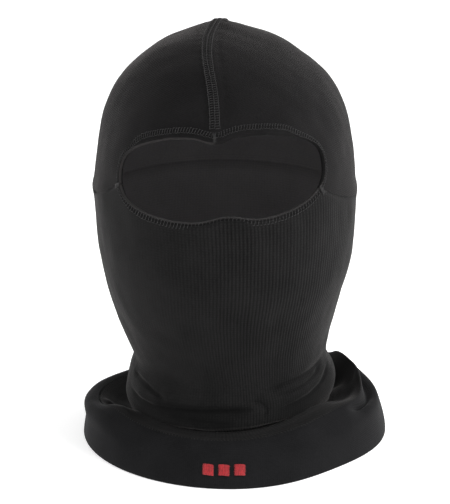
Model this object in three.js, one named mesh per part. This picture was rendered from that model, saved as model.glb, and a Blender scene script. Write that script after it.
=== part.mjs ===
// A knitted winter balaclava that stands on its own hem, filled out as if a head were in it.
// Millimetres, +Z up, the face opening looks along -Y, left and right are as seen from the front.
// The origin is on the floor, at the middle of the object's box.
//
// The hood is two jersey panels joined by a flatlock seam over the crown. A ribbed tube for the
// face and neck is sewn to them from one corner of the eyes, round the back, to the other corner.
// The tube slumps into a roll at the neck, turns out into a groove and ends in a doubled hem band.

import * as THREE from 'three';
import { mergeVertices } from 'three/addons/utils/BufferGeometryUtils.js';

const { degToRad, radToDeg, lerp, smoothstep } = THREE.MathUtils;

// ---- Cloth and thread ----
const CLOTH = 1.3;            // thickness of the knit
const FACING = 1.0;           // thickness of a turned-in edge
const GAP = 0.35;             // clearance between pieces that lie against each other
const FACING_GAP = 1;         // clearance inside the cloth, where the facets of its mesh cut the corner
const THREAD = 0.5;           // height of a row of stitches
const COVER_THREAD = 0.35;    // height of the flat thread ladder under the crown's needle rows

// ---- Head: rings from the crown down, [height, half width, reach forward, reach back, centre x] ----
const CROWN_Z = 257.5;
const HEAD_RINGS = [
  [257.5, 0, 0, 0, -6.3],
  [254, 18.5, 24, 27, -6.3],
  [247, 36.5, 44, 50, -6.3],
  [239, 48.5, 59, 65, -6.3],
  [229.5, 59.5, 70, 78, -6.3],
  [218, 67.5, 80, 88, -6.3],
  [204, 73, 87, 94, -6.3],
  [190, 76, 91.5, 96, -6.3],
  [175, 78, 95, 97, -6.3],
  [160, 79.2, 97.5, 95.5, -6.3],
  [145, 78.6, 98.4, 92.5, -5.8],
  [130, 77.6, 97, 87.5, -5.7],
  [115, 75.6, 93.5, 81, -5.8],
  [100, 72, 88, 75, -6.3],
  [85, 67.8, 80, 70, -5.8],
  [70, 63.3, 72, 66, -4.8],
  [56, 59.8, 67, 63, -3.2],
];
const CROWN_RIDGE = 1;        // how far the crown seam lifts the cloth over the dome
const RIDGE_HALF_WIDTH = 9;
const RIDGE_HEIGHTS = [215, 250];   // it fades in between these heights
const SEAM_SWAY = -9;         // the crown seam wanders this far to the left over the forehead
const SWAY_ANGLE = 62;        // where it wanders most, degrees up from the brow
const SWAY_SPREAD = 32;
const SWAY_REACH = 80;        // and moves the cloth as far as this to either side
const SWAY_HEIGHTS = [190, 225];    // it fades in between these heights

// ---- Neck roll, groove and hem band: rings going on down from the neck ----
// [half width, reach forward, reach back, own height at side, front and back, centre x, centre y,
//  share of the tilt, share of the groove's height, share of the rim's height at side, front and back]
const WAIST_RING = 1;
const JOIN_RING = 11;
const BAND_RING = 11.2;
const COLLAR_RINGS = [
  [63.3, 72, 66, 70, 70, 70, -4.8, 0, 0, 0, 0, 0, 0],
  [59.8, 67, 63, 56, 56, 56, -3.2, 0, 0, 0, 0, 0, 0],
  [61.6, 67.7, 64.5, 48.5, 49, 48.5, -3, 0, 0.3, 0, 0, 0, 0],
  [64.3, 69.3, 66.5, 41, 42, 41, -2.8, 0, 0.8, 0, 0, 0, 0],
  [65.3, 69.8, 67, 34, 35.5, 34, -2.8, 0, 1, 0, 0, 0, 0],
  [64, 68.4, 66, 28.5, 30, 28.5, -2.8, 0, 1, 0, 0, 0, 0],
  [62, 65.5, 63.8, 24, 27.3, 24, -2.6, 0, 1, 0, 0, 0, 0],
  [61.5, 63.8, 63.2, 12, 13.6, 12, -2.4, 0, 0.5, 0.5, 0, 0, 0],
  [65, 65.6, 65, 0, 0, 0, -1.9, 1, 0, 1, 0, 0, 0],
  [71.5, 70, 67.5, 0, 0, 0, -1.1, 3, 0, 0.95, 0.05, 0.05, 0.05],
  [79, 74.6, 70, 0, 0, 0, -0.5, 5, 0, 0.5, 0.5, 0.48, 0.5],
  [85, 79, 72.5, 0, 0, 0, 0, 7, 0, 0.1, 0.88, 0.86, 0.88],
  [89.2, 83.3, 75.5, 0, 0, 0, 0, 8, 0, 0, 1, 0.86, 1],
  [92.6, 87, 78, 0, 0, 0, 0, 8, 0, 0, 0.96, 0.71, 0.92],
  [94.8, 92.2, 79, 0, 0, 0, 0, 8, 0, 0, 0.79, 0.52, 0.69],
  [94.2, 96.5, 78.5, 0, 0, 0, 0, 8, 0, 0, 0.48, 0.34, 0.44],
  [95.3, 98.3, 78.8, 0, 0, 0, 0, 8, 0, 0, 0.16, 0.16, 0.2],
  [95.7, 98.8, 79, 0, 0, 0, 0, 8, 0, 0, 0, 0, 0],
];
// Height of the rim and of the bottom of the groove inside it, round the object.
const RIM = [
  [-180, 19.5, 12],
  [-150, 20, 12],
  [-120, 21, 12],
  [-98, 22.5, 12],
  [-80, 25, 14],
  [-62, 29, 24],
  [-46, 27, 25],
  [-25, 24.5, 23.8],
  [0, 24.3, 24],
  [25, 28.5, 27.5],
  [45, 33, 32],
  [62, 34, 29],
  [80, 30, 17],
  [100, 31.5, 15],
  [120, 36.5, 15],
  [140, 31, 13],
  [160, 23.5, 12],
  [180, 19.5, 12],
];
const COLLAR_TILT = 0.07;     // the roll stands higher on the right, mm per mm across
const RIM_PINCH = 0.34;       // the rim is pushed in behind the right side of the neck
const RIM_PINCH_AT = 120;     // degrees round from the front
const RIM_PINCH_SPREAD = 28;
const FLAT_SHARE = 0.24;      // the band is drawn in at the front right, a share of its flare
const FLAT_AT = 42;
const FLAT_SPREAD = 27;
const FLARE_START = 62;       // the radius where the flare begins
const PINCH_RINGS = [12.5, 16];     // rings between which the pinch fades out, down the band
const DRAWN_RINGS = [6, 9];         // rings between which pinch and draw come in
const FRONT_TURN = [25, 80];        // degrees from the front where the front shape turns into the side's
const REAR_TURN = [100, 170];       // and the side's into the rear's
const SLOT = 0.3;             // room between the two layers of the hem band
const HEM_SLOT_FLOOR = 2;     // the fold at the bottom of the band is this thick

// ---- Eye opening: a rounded outline, azimuth in degrees against height ----
const EYE = { azimuth: -1.8, halfWidth: 48.9, height: 183.8, halfHeight: 23, roundness: 2.5, tilt: 3.1 };
const BROW_NOTCH = { azimuth: -4, depth: 3.7, spread: 8 };
const NOSE_CUSP = { azimuth: 1, depth: 3.6, spread: 9 };
const RIGHT_CORNER = -26;     // where the joining seam meets the outline, degrees round it
const LEFT_CORNER = 191;
const BROW_SEAM = 91.4;       // where the crown seam meets it
const SEAM_LEVEL = 156;       // height of the joining seam round the back of the head
const SEAM_EASE = 20;         // degrees in which it comes down from the corner of the eye

// ---- Hems, seams and the accent ----
const BROW_HEM = 7;
const CHEEK_HEM = 5;
const BROW_STITCH = [4.6, 7.4];     // from the folded edge to the near and far side of the stitches
const CHEEK_STITCH = [0.6, 4.2];
const CROWN_SEAM_WIDTH = 7.6;
const NEEDLE_ROW = 0.9;
const NEEDLE_PITCH = 3.2;
const CROWN_SEAM_START = 9;         // the crown stitches stop this far above the folded edge
const JOIN_ALLOWANCE = 5;
const JOIN_STITCH = 1.4;
const JOIN_START = 9;               // degrees from the corner of the eye to the first joining stitch
const HEM_STITCH = 1.8;
const ACCENT_SIZE = 6.5;
const ACCENT_PITCH = 9.25;
const ACCENT_AZIMUTH = -4.2;
const ACCENT_RING = 14.55;

// ---- Mesh steps ----
const BROW_STEPS = 15;              // columns from the crown seam to the corner of the eye
const CHEEK_STEPS = 20;
const BACK_STEPS = 15;              // columns from the corner of the eye to the middle of the back
const HOOD_ROWS = 13;
const CROWN_TURN = [76, 180];       // the columns from the corner and the back meet the crown at these degrees
const FAN = 0.5;                    // power that keeps columns clear of each other near the crown
const FAN_DEGREES = [5, 45];
const FACE_ROWS = 11;
const COLLAR_ROWS = 16;
const BAND_ROWS = 9;
const BAND_STEPS = 48;
const STRIP_STEPS = 30;
const JOIN_STEPS = 48;
const NUDGE = 1e-3;                 // step for slopes

const CHARCOAL = 0x242326;
const RIB_BLACK = 0x201f22;
const BAND_BLACK = 0x1b1b1f;
const STITCH_GREY = 0x39373a;
const RED = 0xd23a3a;

// A smooth curve through values at rising knots (cubic, with averaged slopes at the knots).
function smoothThrough(knots, values, at) {
  const last = knots.length - 1;
  let i = 0;
  while (i < last - 1 && at > knots[i + 1]) i += 1;
  const chord = (k) => (values[k + 1] - values[k]) / (knots[k + 1] - knots[k]);
  const slope = (k) => {
    if (k === 0) return chord(0);
    if (k === last) return chord(last - 1);
    const before = knots[k] - knots[k - 1];
    const after = knots[k + 1] - knots[k];
    return (chord(k - 1) * after + chord(k) * before) / (before + after);
  };
  const span = knots[i + 1] - knots[i];
  const t = (at - knots[i]) / span;
  const rise = values[i + 1] - values[i];
  const start = slope(i) * span;
  const end = slope(i + 1) * span;
  return values[i] + t * (start + t * (3 * rise - 2 * start - end + t * (start + end - 2 * rise)));
}

const column = (table, index) => table.map((row) => row[index]);
const HEAD_KNOTS = HEAD_RINGS.map((row) => Math.sqrt(CROWN_Z - row[0]));
const COLLAR_KNOTS = COLLAR_RINGS.map((row, index) => index);
const RIM_KNOTS = column(RIM, 0);
const headSize = (index, drop) => smoothThrough(HEAD_KNOTS, column(HEAD_RINGS, index), drop);
const collarSize = (index, ring) => smoothThrough(COLLAR_KNOTS, column(COLLAR_RINGS, index), ring);

const bump = (offset, spread) => Math.exp(-((offset / spread) ** 2));
const dropOf = (height) => Math.sqrt(Math.max(0, CROWN_Z - height));

// A point on the outside of the head: azimuth in degrees from the front, to the right, and the
// square root of the distance below the crown, which keeps the rings evenly spaced over the dome.
function headPoint(azimuth, drop) {
  const angle = degToRad(azimuth);
  const height = CROWN_Z - drop * drop;
  const forward = Math.cos(angle) > 0;
  const across = headSize(1, drop) * Math.sin(angle);
  const y = -headSize(forward ? 2 : 3, drop) * Math.cos(angle);
  const swayAngle = radToDeg(Math.atan2(height - SWAY_HEIGHTS[0], -y));
  const middle = Math.max(0, 1 - (across / SWAY_REACH) ** 2) ** 2;
  const sway = SEAM_SWAY * bump(swayAngle - SWAY_ANGLE, SWAY_SPREAD) * middle * smoothstep(height, ...SWAY_HEIGHTS);
  const ridge = CROWN_RIDGE * bump(across, RIDGE_HALF_WIDTH) * smoothstep(height, ...RIDGE_HEIGHTS);
  return new THREE.Vector3(headSize(4, drop) + across + sway, y, height + ridge);
}

// A point on the outside of the neck roll, groove and hem band, at a ring number of COLLAR_RINGS.
function collarPoint(azimuth, ring) {
  const angle = degToRad(azimuth);
  const across = collarSize(0, ring) * Math.sin(angle);
  const back = collarSize(7, ring) - collarSize(Math.cos(angle) > 0 ? 1 : 2, ring) * Math.cos(angle);
  const flare = Math.max(0, Math.hypot(across, back) - FLARE_START);
  const round = ((azimuth + 540) % 360) - 180;
  const pinched = RIM_PINCH * bump(round - RIM_PINCH_AT, RIM_PINCH_SPREAD) * (1 - smoothstep(ring, ...PINCH_RINGS));
  const flattened = FLAT_SHARE * bump(round - FLAT_AT, FLAT_SPREAD);
  const drawnIn = (flattened + pinched) * smoothstep(ring, ...DRAWN_RINGS);
  const flat = 1 - (drawnIn * flare) / (FLARE_START + flare);
  const x = across * flat;
  const turn = Math.abs(round);
  const blend = ([side, front, rear]) => {
    const beside = lerp(collarSize(side, ring), collarSize(rear, ring), smoothstep(turn, ...REAR_TURN));
    return lerp(collarSize(front, ring), beside, smoothstep(turn, ...FRONT_TURN));
  };
  const tilt = COLLAR_TILT * x * collarSize(8, ring);
  const groove = smoothThrough(RIM_KNOTS, column(RIM, 2), round) * collarSize(9, ring);
  const rim = smoothThrough(RIM_KNOTS, column(RIM, 1), round) * blend([10, 11, 12]);
  return new THREE.Vector3(collarSize(6, ring) + x, back * flat, blend([3, 4, 5]) + tilt + groove + rim);
}

// Outward normal of a surface point(azimuth, along), where along runs downward.
function normalOf(point, azimuth, along) {
  if (along < NUDGE) return new THREE.Vector3(0, 0, 1);
  const origin = point(azimuth, along);
  const sideways = point(azimuth + 0.05, along).sub(origin);
  const downward = point(azimuth, along + NUDGE).sub(point(azimuth, along - NUDGE));
  return downward.cross(sideways).normalize();
}

const raised = (point, azimuth, along, height) =>
  point(azimuth, along).addScaledVector(normalOf(point, azimuth, along), height);

// ---- Eye opening and joining seam ----

// The outline at a turn in degrees: 0 at the right end, 90 at the brow, 180 at the left end.
function eyeOutline(turn) {
  const power = 2 / EYE.roundness;
  const rounded = (value) => Math.sign(value) * Math.abs(value) ** power;
  const across = rounded(Math.cos(degToRad(turn)));
  const up = rounded(Math.sin(degToRad(turn)));
  const azimuth = EYE.azimuth + EYE.halfWidth * across;
  const notch = up > 0 ? BROW_NOTCH.depth * bump(azimuth - BROW_NOTCH.azimuth, BROW_NOTCH.spread) : 0;
  const cusp = up < 0 ? NOSE_CUSP.depth * bump(azimuth - NOSE_CUSP.azimuth, NOSE_CUSP.spread) : 0;
  return { azimuth, height: EYE.height + EYE.halfHeight * up + EYE.tilt * across - notch + cusp };
}

const CORNERS = { right: eyeOutline(RIGHT_CORNER), left: eyeOutline(LEFT_CORNER) };

// Height of the seam between hood and tube, from a corner of the eye round to the back.
function joinHeight(azimuth) {
  const corner = azimuth > 0 ? CORNERS.right : CORNERS.left;
  const past = Math.abs(azimuth) - Math.abs(corner.azimuth);
  return SEAM_LEVEL + (corner.height - SEAM_LEVEL) * Math.exp(-Math.max(0, past) / SEAM_EASE);
}

const steps = (from, to, count) => Array.from({ length: count + 1 }, (_, i) => lerp(from, to, i / count));

// ---- Closed meshes ----

// Joins sections, each a ring of points with the outer face first and the inner face back again,
// into one closed mesh. An open run is capped at both ends.
function loft(sections, closed) {
  const size = sections[0].length;
  const position = sections.flat().flatMap((point) => point.toArray());
  const index = [];
  const quad = (a, b, c, d) => index.push(a, b, c, a, c, d);
  const runs = closed ? sections.length : sections.length - 1;
  for (let i = 0; i < runs; i += 1) {
    const here = i * size;
    const next = ((i + 1) % sections.length) * size;
    for (let k = 0; k < size; k += 1) {
      const after = (k + 1) % size;
      quad(here + k, here + after, next + after, next + k);
    }
  }
  if (!closed) {
    const end = (sections.length - 1) * size;
    for (let k = 0; k < size / 2 - 1; k += 1) {
      quad(k, size - 1 - k, size - 2 - k, k + 1);
      quad(end + k, end + k + 1, end + size - 2 - k, end + size - 1 - k);
    }
  }
  const open = new THREE.BufferGeometry();
  open.setAttribute('position', new THREE.Float32BufferAttribute(position, 3));
  open.setIndex(index);
  return outward(mergeVertices(open, 1e-4));
}

// Drops triangles that merged to nothing and turns the mesh the right way out.
function outward(geometry) {
  const point = (i) => new THREE.Vector3().fromBufferAttribute(geometry.attributes.position, i);
  const all = geometry.index.array;
  const kept = [];
  let volume = 0;
  for (let i = 0; i < all.length; i += 3) {
    const [a, b, c] = all.subarray(i, i + 3);
    if (a === b || b === c || c === a) continue;
    kept.push(a, b, c);
    volume += point(a).dot(point(b).cross(point(c)));
  }
  if (volume < 0) kept.reverse();
  geometry.setIndex(kept);
  geometry.computeVertexNormals();
  return geometry;
}

const cloth = (color) => new THREE.MeshStandardMaterial({ color, roughness: 0.95, metalness: 0 });

function piece(name, geometry, color) {
  const mesh = new THREE.Mesh(geometry, cloth(color));
  mesh.name = name;
  return mesh;
}

// A section of cloth whose outer face runs through the stops, each [azimuth, along].
function clothSection(point, stops) {
  const outer = stops.map(([azimuth, along]) => point(azimuth, along));
  const inner = stops.map(([azimuth, along]) => raised(point, azimuth, along, -CLOTH));
  return [...outer, ...inner.reverse()];
}

// The stop reached from another by moving a short way over the surface.
function slide(point, azimuth, along, move) {
  const origin = point(azimuth, along);
  const sideways = point(azimuth + 0.05, along).sub(origin).divideScalar(0.05);
  const downward = point(azimuth, along + NUDGE).sub(origin).divideScalar(NUDGE);
  const aa = sideways.lengthSq();
  const bb = downward.lengthSq();
  const ab = sideways.dot(downward);
  const a = move.dot(sideways);
  const b = move.dot(downward);
  const area = aa * bb - ab * ab;
  return [azimuth + (a * bb - b * ab) / area, along + (b * aa - a * ab) / area];
}

// A strip along a path over a surface: stop(t) is [azimuth, along] for t from 0 to 1. Its section
// lies between two distances across the path and two heights over the surface.
function strip(point, stop, [near, far], [low, high], count, closed = false) {
  const sections = [];
  const total = closed ? count - 1 : count;
  for (let i = 0; i <= total; i += 1) {
    const t = i / count;
    const [azimuth, along] = stop(t);
    const before = point(...stop(closed ? t - NUDGE : Math.max(0, t - NUDGE)));
    const after = point(...stop(closed ? t + NUDGE : Math.min(1, t + NUDGE)));
    const across = normalOf(point, azimuth, along).cross(after.sub(before).normalize()).normalize();
    const edge = (sideways) => slide(point, azimuth, along, across.clone().multiplyScalar(sideways));
    const corner = (sideways, height) => raised(point, ...edge(sideways), height);
    sections.push([corner(near, high), corner(far, high), corner(far, low), corner(near, low)]);
  }
  return loft(sections, closed);
}

// ---- Hood ----

// One panel of the hood. Its columns start along the brow and the joining seam and end at the crown.
function hoodPanel(side) {
  const corner = side > 0 ? RIGHT_CORNER : LEFT_CORNER;
  const brow = steps(BROW_SEAM, corner, BROW_STEPS).map(eyeOutline);
  const seam = steps(brow[BROW_STEPS].azimuth, side * 180, BACK_STEPS).slice(1);
  const starts = [...brow, ...seam.map((azimuth) => ({ azimuth, height: joinHeight(azimuth) }))];
  const sections = starts.map((start, index) => {
    const browShare = Math.min(1, index / BROW_STEPS);
    const backShare = Math.max(0, (index - BROW_STEPS) / BACK_STEPS);
    const end = side * (CROWN_TURN[0] * browShare + (CROWN_TURN[1] - CROWN_TURN[0]) * backShare);
    const fan = lerp(1, FAN, smoothstep(Math.abs(end), ...FAN_DEGREES));
    const stops = steps(0, 1, HOOD_ROWS).map((t) => {
      const azimuth = lerp(start.azimuth, end, t ** fan);
      return [azimuth, dropOf(start.height) * (1 - t)];
    });
    return clothSection(headPoint, stops);
  });
  sections.flat().forEach((point) => { point.x += side * GAP / 2; });
  return loft(sections, false);
}

// ---- Face and neck tube ----

function tubeColumn(azimuth, top) {
  const face = steps(top - GAP, HEAD_RINGS.at(-1)[0], FACE_ROWS).slice(0, -1);
  const headStops = face.map((height) => [azimuth, dropOf(height)]);
  const collarStops = steps(WAIST_RING, JOIN_RING, COLLAR_ROWS).map((ring) => [azimuth, ring]);
  const upper = clothSection(headPoint, headStops);
  const lower = clothSection(collarPoint, collarStops);
  const upperInner = upper.splice(headStops.length);
  return [...upper, ...lower, ...upperInner];
}

function tube() {
  const cheek = steps(LEFT_CORNER, RIGHT_CORNER + 360, CHEEK_STEPS).map(eyeOutline);
  const rightBack = steps(cheek[CHEEK_STEPS].azimuth, 180, BACK_STEPS).slice(1);
  const leftBack = steps(-180, cheek[0].azimuth, BACK_STEPS).slice(1, -1);
  const sewn = (azimuth) => ({ azimuth, height: joinHeight(azimuth) });
  const tops = [...cheek, ...rightBack.map(sewn), ...leftBack.map(sewn)];
  return loft(tops.map(({ azimuth, height }) => tubeColumn(azimuth, height)), true);
}

// ---- Hem band: one strip of cloth folded double, its fold on the floor ----

function bandSection(azimuth) {
  const last = COLLAR_RINGS.length - 1;
  const rings = steps(BAND_RING, last, BAND_ROWS);
  const at = (ring, depth) => {
    const normal = normalOf(collarPoint, azimuth, Math.min(ring, last - NUDGE));
    if (ring > last - 0.5) normal.setZ(0).normalize();
    return collarPoint(azimuth, ring).addScaledVector(normal, -depth);
  };
  const outer = rings.map((ring) => at(ring, 0));
  const inner = rings.slice(2).map((ring) => at(ring, 2 * CLOTH + SLOT)).reverse();
  const lifted = (point) => point.setZ(Math.max(point.z, HEM_SLOT_FLOOR));
  const slotInner = rings.slice(2).map((ring) => lifted(at(ring, CLOTH + SLOT)));
  const slotOuter = rings.map((ring) => lifted(at(ring, CLOTH))).reverse();
  return [...outer, ...inner, ...slotInner, ...slotOuter];
}

function hemBand() {
  const azimuths = steps(-180, 180, BAND_STEPS).slice(0, -1);
  return loft(azimuths.map(bandSection), true);
}

// ---- Hems of the eye opening ----

// A run along the outline between two turns, pulled back from each corner by a few degrees.
const alongEye = (from, to) => (t) => {
  const { azimuth, height } = eyeOutline(lerp(from, to, t));
  return [azimuth, dropOf(height)];
};

const BROW_RUN = [LEFT_CORNER - 6, RIGHT_CORNER + 6];
const CHEEK_RUN = [RIGHT_CORNER + 354, LEFT_CORNER + 6];
const INSIDE = [-CLOTH - FACING_GAP - FACING, -CLOTH - FACING_GAP];
const ON_TOP = [GAP, GAP + THREAD];

const eyeStrip = (run, across, heights) =>
  strip(headPoint, alongEye(...run), across, heights, STRIP_STEPS);

function bartack(stop, [near, far], width) {
  const [azimuth, along] = stop;
  const half = width / 2 / headSize(1, along);
  const reach = radToDeg(half);
  return strip(headPoint, (t) => [azimuth + lerp(-reach, reach, t), along], [near, far], ON_TOP, 2);
}

// A bartack across the hem at a corner of the eye: a short strip along the outline.
function cornerBartack(turn) {
  return strip(headPoint, alongEye(turn + 2, turn - 2), [-1, CHEEK_HEM + 1], ON_TOP, 2);
}

// ---- Crown seam ----

// The path of the crown seam from the brow, over the crown, to the joining seam at the back.
function crownStop(t) {
  const brow = eyeOutline(BROW_SEAM);
  const front = dropOf(brow.height + CROWN_SEAM_START);
  const back = dropOf(SEAM_LEVEL + JOIN_ALLOWANCE);
  const drop = lerp(-front, back, t);
  return drop < 0 ? [brow.azimuth * (-drop / dropOf(brow.height)), -drop] : [180, drop];
}

function crownStrip([near, far], heights) {
  const sections = [];
  for (let i = 0; i <= STRIP_STEPS; i += 1) {
    const t = i / STRIP_STEPS;
    const [azimuth, drop] = crownStop(t);
    const across = new THREE.Vector3(1, 0, 0);
    const before = headPoint(...crownStop(Math.max(0, t - NUDGE)));
    const after = headPoint(...crownStop(Math.min(1, t + NUDGE)));
    const up = across.clone().cross(after.sub(before)).normalize();
    const corner = (sideways, height) =>
      headPoint(azimuth, drop).addScaledVector(across, sideways).addScaledVector(up, height);
    const [low, high] = heights;
    sections.push([corner(near, high), corner(far, high), corner(far, low), corner(near, low)]);
  }
  return loft(sections, false);
}

function needleRow(offset) {
  const low = 2 * GAP + COVER_THREAD;
  return crownStrip([offset - NEEDLE_ROW / 2, offset + NEEDLE_ROW / 2], [low, low + THREAD]);
}

// ---- Joining seam ----

function alongJoin(t) {
  const from = CORNERS.right.azimuth + JOIN_START;
  const to = 360 + CORNERS.left.azimuth - JOIN_START;
  const round = lerp(from, to, t);
  const azimuth = round > 180 ? round - 360 : round;
  return [azimuth, dropOf(joinHeight(azimuth) - GAP / 2)];
}

const joinStrip = (width, heights) =>
  strip(headPoint, alongJoin, [-width / 2, width / 2], heights, JOIN_STEPS);

// ---- Hem stitches and accent ----

const alongHem = (t) => [((t * 360 + 540) % 360) - 180, (JOIN_RING + BAND_RING) / 2];

function accentSquare(index) {
  const radius = collarSize(1, ACCENT_RING);
  const degrees = (length) => radToDeg(length / radius);
  const middle = ACCENT_AZIMUTH + degrees(index * ACCENT_PITCH);
  const half = degrees(ACCENT_SIZE / 2);
  const path = (t) => [middle + lerp(-half, half, t), ACCENT_RING];
  return strip(collarPoint, path, [-ACCENT_SIZE / 2, ACCENT_SIZE / 2], ON_TOP, 4);
}

// ---- Assembly ----

const balaclava = new THREE.Group();
const HALF_SEAM = CROWN_SEAM_WIDTH / 2;
const HALF_STITCH = HEM_STITCH / 2;
const brow = eyeOutline(BROW_SEAM);

balaclava.add(
  piece('hood_left_panel', hoodPanel(-1), CHARCOAL),
  piece('hood_right_panel', hoodPanel(1), CHARCOAL),
  piece('face_and_neck_tube', tube(), RIB_BLACK),
  piece('hem_band', hemBand(), BAND_BLACK),
  piece('brow_hem_facing', eyeStrip(BROW_RUN, [0.4, BROW_HEM], INSIDE), CHARCOAL),
  piece('cheek_hem_facing', eyeStrip(CHEEK_RUN, [0.4, CHEEK_HEM], INSIDE), RIB_BLACK),
  piece('brow_cover_stitch', eyeStrip(BROW_RUN, BROW_STITCH, ON_TOP), STITCH_GREY),
  piece('cheek_cover_stitch', eyeStrip(CHEEK_RUN, CHEEK_STITCH, ON_TOP), STITCH_GREY),
  piece('brow_bartack', bartack([brow.azimuth, dropOf(brow.height)], [0.8, 4.2], 1.6), STITCH_GREY),
  piece('eye_corner_bartack_left', cornerBartack(LEFT_CORNER), STITCH_GREY),
  piece('eye_corner_bartack_right', cornerBartack(RIGHT_CORNER), STITCH_GREY),
  piece('crown_cover_thread', crownStrip([-HALF_SEAM, HALF_SEAM], [GAP, GAP + COVER_THREAD]), STITCH_GREY),
  piece('crown_needle_thread_left', needleRow(-NEEDLE_PITCH), STITCH_GREY),
  piece('crown_needle_thread_centre', needleRow(0), STITCH_GREY),
  piece('crown_needle_thread_right', needleRow(NEEDLE_PITCH), STITCH_GREY),
  piece('joining_seam_allowance', joinStrip(JOIN_ALLOWANCE, INSIDE), CHARCOAL),
  piece('joining_seam_thread', joinStrip(JOIN_STITCH, ON_TOP), STITCH_GREY),
  piece('hem_cover_stitch', strip(collarPoint, alongHem, [-HALF_STITCH, HALF_STITCH], ON_TOP, BAND_STEPS, true),
    STITCH_GREY),
  piece('accent_square_left', accentSquare(-1), RED),
  piece('accent_square_centre', accentSquare(0), RED),
  piece('accent_square_right', accentSquare(1), RED),
);

export default balaclava;
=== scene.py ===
"""Looks for the knitted balaclava: cloth, hems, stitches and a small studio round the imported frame."""
from math import radians

import bmesh
import bpy
import numpy as np
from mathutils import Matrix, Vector


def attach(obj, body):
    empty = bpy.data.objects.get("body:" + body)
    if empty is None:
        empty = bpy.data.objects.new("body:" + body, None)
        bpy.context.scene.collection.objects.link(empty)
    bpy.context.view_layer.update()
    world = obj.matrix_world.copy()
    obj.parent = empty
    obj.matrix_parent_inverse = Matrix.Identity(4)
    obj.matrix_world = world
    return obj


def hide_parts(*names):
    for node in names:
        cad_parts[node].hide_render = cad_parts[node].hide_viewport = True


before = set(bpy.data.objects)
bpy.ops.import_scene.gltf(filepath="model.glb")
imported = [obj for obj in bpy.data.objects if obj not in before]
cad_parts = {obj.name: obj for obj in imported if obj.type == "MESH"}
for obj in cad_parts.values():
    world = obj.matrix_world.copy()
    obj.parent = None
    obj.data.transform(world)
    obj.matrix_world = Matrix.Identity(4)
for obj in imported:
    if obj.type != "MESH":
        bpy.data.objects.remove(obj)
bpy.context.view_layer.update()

# Everything below is in millimetres and degrees, and becomes metres where a mesh is built.
MM = 0.001
CLOTH = 1.3
rng = np.random.default_rng(7)

# ---- The surface of the head, neck roll and band, the same curves as the CAD ----
CROWN_Z = 257.5
WAIST_Z = 56
HEAD_RADIUS = 88.0
# Height, half breadth, reach to the front, reach to the back, middle across.
HEAD_RINGS = np.array([
    [257.5, 0, 0, 0, -6.3],
    [254, 18.5, 24, 27, -6.3],
    [247, 36.5, 44, 50, -6.3],
    [239, 48.5, 59, 65, -6.3],
    [229.5, 59.5, 70, 78, -6.3],
    [218, 67.5, 80, 88, -6.3],
    [204, 73, 87, 94, -6.3],
    [190, 76, 91.5, 96, -6.3],
    [175, 78, 95, 97, -6.3],
    [160, 79.2, 97.5, 95.5, -6.3],
    [145, 78.6, 98.4, 92.5, -5.8],
    [130, 77.6, 97, 87.5, -5.7],
    [115, 75.6, 93.5, 81, -5.8],
    [100, 72, 88, 75, -6.3],
    [85, 67.8, 80, 70, -5.8],
    [70, 63.3, 72, 66, -4.8],
    [56, 59.8, 67, 63, -3.2],
])
# Reach to the side, the front and the back, height at the side, the front and the back, middle across,
# shift to the back, tilt, share of the groove's height, share of the rim's at the side, front and back.
COLLAR_RINGS = np.array([
    [63.3, 72, 66, 70, 70, 70, -4.8, 0, 0, 0, 0, 0, 0],
    [59.8, 67, 63, 56, 56, 56, -3.2, 0, 0, 0, 0, 0, 0],
    [61.6, 67.7, 64.5, 48.5, 49, 48.5, -3, 0, 0.3, 0, 0, 0, 0],
    [64.3, 69.3, 66.5, 41, 42, 41, -2.8, 0, 0.8, 0, 0, 0, 0],
    [65.3, 69.8, 67, 34, 35.5, 34, -2.8, 0, 1, 0, 0, 0, 0],
    [64, 68.4, 66, 28.5, 30, 28.5, -2.8, 0, 1, 0, 0, 0, 0],
    [62, 65.5, 63.8, 24, 27.3, 24, -2.6, 0, 1, 0, 0, 0, 0],
    [61.5, 63.8, 63.2, 12, 13.6, 12, -2.4, 0, 0.5, 0.5, 0, 0, 0],
    [65, 65.6, 65, 0, 0, 0, -1.9, 1, 0, 1, 0, 0, 0],
    [71.5, 70, 67.5, 0, 0, 0, -1.1, 3, 0, 0.95, 0.05, 0.05, 0.05],
    [79, 74.6, 70, 0, 0, 0, -0.5, 5, 0, 0.5, 0.5, 0.48, 0.5],
    [85, 79, 72.5, 0, 0, 0, 0, 7, 0, 0.1, 0.88, 0.86, 0.88],
    [89.2, 83.3, 75.5, 0, 0, 0, 0, 8, 0, 0, 1, 0.86, 1],
    [92.6, 87, 78, 0, 0, 0, 0, 8, 0, 0, 0.96, 0.71, 0.92],
    [94.8, 92.2, 79, 0, 0, 0, 0, 8, 0, 0, 0.79, 0.52, 0.69],
    [94.2, 96.5, 78.5, 0, 0, 0, 0, 8, 0, 0, 0.48, 0.34, 0.44],
    [95.3, 98.3, 78.8, 0, 0, 0, 0, 8, 0, 0, 0.16, 0.16, 0.2],
    [95.7, 98.8, 79, 0, 0, 0, 0, 8, 0, 0, 0, 0, 0],
])
# Round the object: azimuth, height of the rim, height of the bottom of the groove inside it.
RIM = np.array([
    [-180, 19.5, 12],
    [-150, 20, 12],
    [-120, 21, 12],
    [-98, 22.5, 12],
    [-80, 25, 14],
    [-62, 29, 24],
    [-46, 27, 25],
    [-25, 24.5, 23.8],
    [0, 24.3, 24],
    [25, 28.5, 27.5],
    [45, 33, 32],
    [62, 34, 29],
    [80, 30, 17],
    [100, 31.5, 15],
    [120, 36.5, 15],
    [140, 31, 13],
    [160, 23.5, 12],
    [180, 19.5, 12],
], float)
# Where the tube ends, where the band and its row of stitches begin, and the fold on the floor.
TUBE_END, BAND_START, STITCH_RING, LAST_RING = 11.24, 11.1, 11.1, 17


def bump(offset, spread):
    return np.exp(-((offset / spread) ** 2))


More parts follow.
